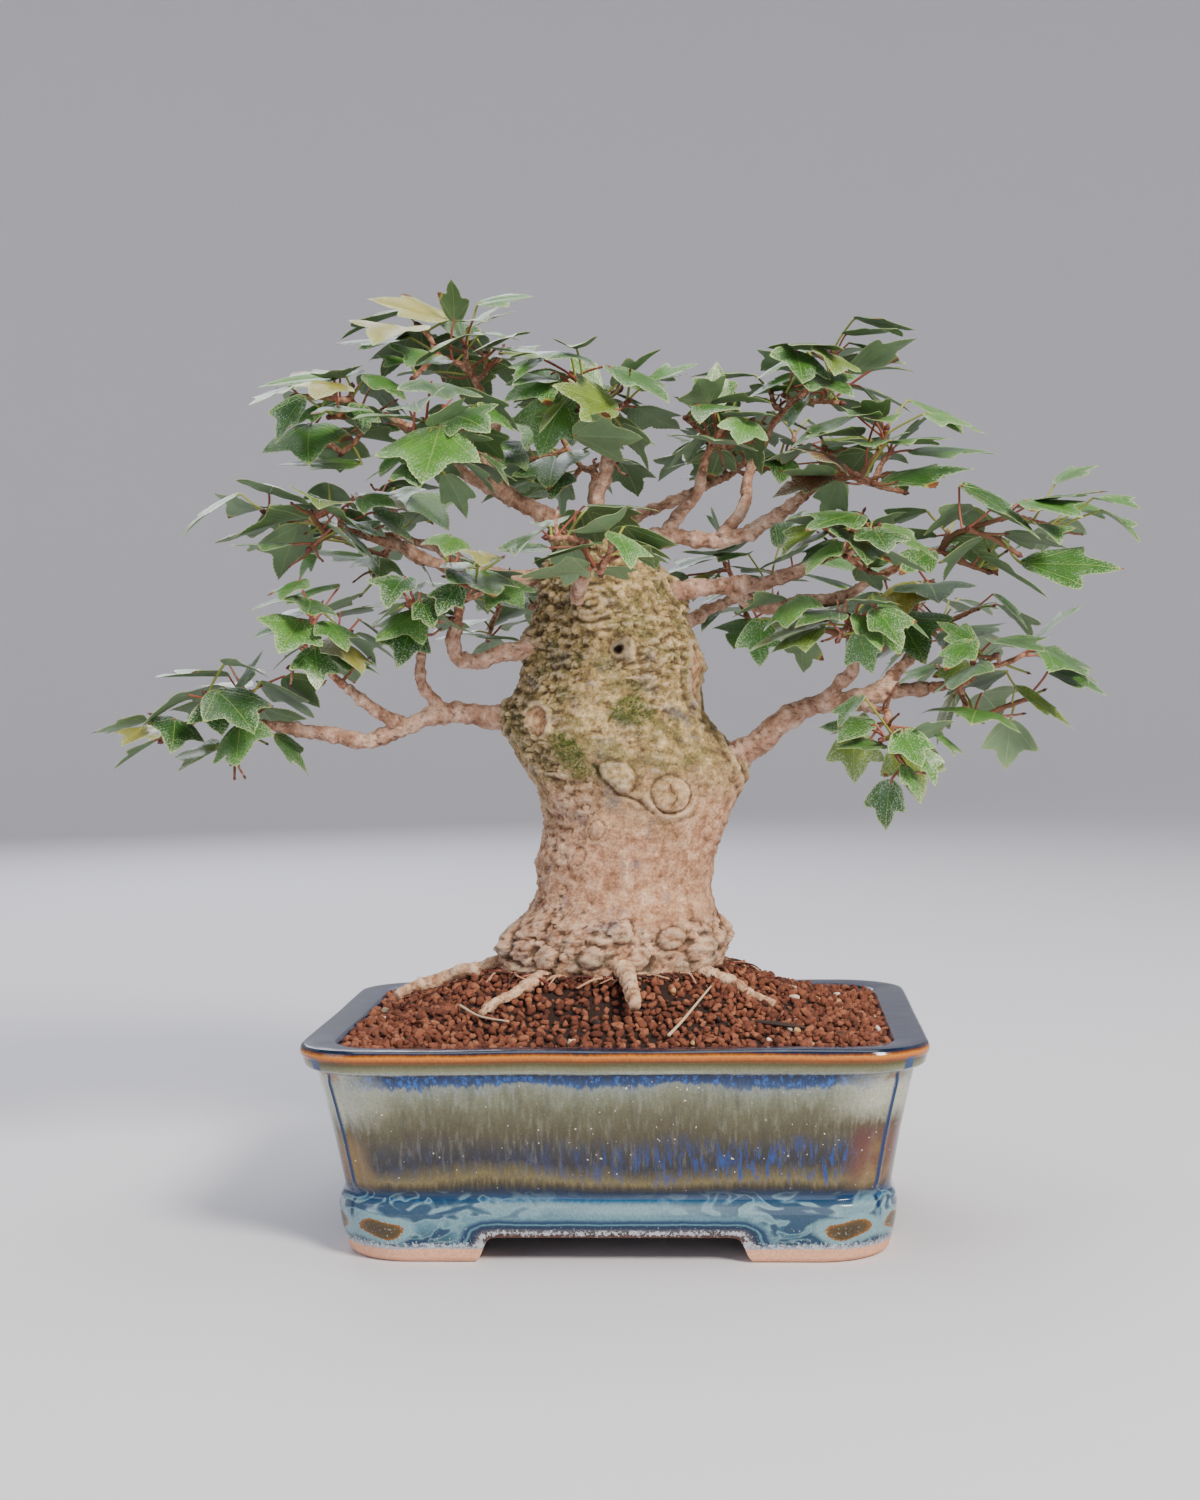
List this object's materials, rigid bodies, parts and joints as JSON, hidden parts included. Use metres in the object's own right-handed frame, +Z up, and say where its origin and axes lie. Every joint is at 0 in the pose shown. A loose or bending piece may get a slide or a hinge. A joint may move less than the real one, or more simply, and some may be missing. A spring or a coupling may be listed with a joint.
{
  "type": "potted trident maple bonsai",
  "caption": "Small trident maple bonsai: a thick scarred trunk with crooked boughs and masses of three-lobed leaves, on a mound of clay granules in a glazed rectangular pot on feet.",
  "frame": {"origin": "middle of the whole part's box, at the level that the pot's feet stand on", "axes": "+X to the right along the pot's long side, +Y from the front to the back, +Z up"},
  "size_m": [0.3454, 0.204, 0.3124],
  "materials": {
    "glaze": "glossy blue, olive and amber glaze, bare clay feet",
    "granules": "matte red-brown fired clay granules",
    "trunk_bark": "matte scarred grey-brown bark",
    "root_bark": "matte pale beige bark",
    "bough_bark": "matte flaking brown bark",
    "maple_leaves": "satin green leaves with a pale bloom"
  },
  "bodies": {
    "root": {"bough_back_left": "bough_bark", "bough_back_right": "bough_bark", "bough_back_right_top": "bough_bark", "bough_back_top": "bough_bark", "bough_centre": "bough_bark", "bough_front": "bough_bark", "bough_left_back": "bough_bark", "bough_left_low": "bough_bark", "bough_left_low_fork": "bough_bark", "bough_left_low_spur": "bough_bark", "bough_left_mid": "bough_bark", "bough_left_upper": "bough_bark", "bough_right_low": "bough_bark", "bough_right_low_back": "bough_bark", "bough_right_low_front": "bough_bark", "bough_right_low_rise": "bough_bark", "bough_right_mid": "bough_bark", "bough_right_mid_low": "bough_bark", "bough_right_top": "bough_bark", "bough_right_upper": "bough_bark", "bough_right_upper_spur": "bough_bark", "bough_top": "bough_bark", "bough_top_left": "bough_bark", "bough_top_left_spur": "bough_bark", "leaves_back_left": "maple_leaves", "leaves_back_right": "maple_leaves", "leaves_back_right_top": "maple_leaves", "leaves_back_top": "maple_leaves", "leaves_centre": "maple_leaves", "leaves_front": "maple_leaves", "leaves_left_back": "maple_leaves", "leaves_left_low": "maple_leaves", "leaves_left_low_inner": "maple_leaves", "leaves_left_low_mid": "maple_leaves", "leaves_left_mid": "maple_leaves", "leaves_left_upper": "maple_leaves", "leaves_right_low": "maple_leaves", "leaves_right_low_back": "maple_leaves", "leaves_right_low_front": "maple_leaves", "leaves_right_low_inner": "maple_leaves", "leaves_right_mid": "maple_leaves", "leaves_right_mid_outer": "maple_leaves", "leaves_right_top": "maple_leaves", "leaves_right_upper": "maple_leaves", "leaves_right_upper_inner": "maple_leaves", "leaves_top_left": "maple_leaves", "leaves_top_left_inner": "maple_leaves", "leaves_top_left_outer": "maple_leaves", "pot": "glaze", "root_back": "root_bark", "root_front": "root_bark", "root_front_left": "root_bark", "root_left": "root_bark", "root_right": "root_bark", "soil": "granules", "trunk": "trunk_bark"}
  },
  "joints": []
}
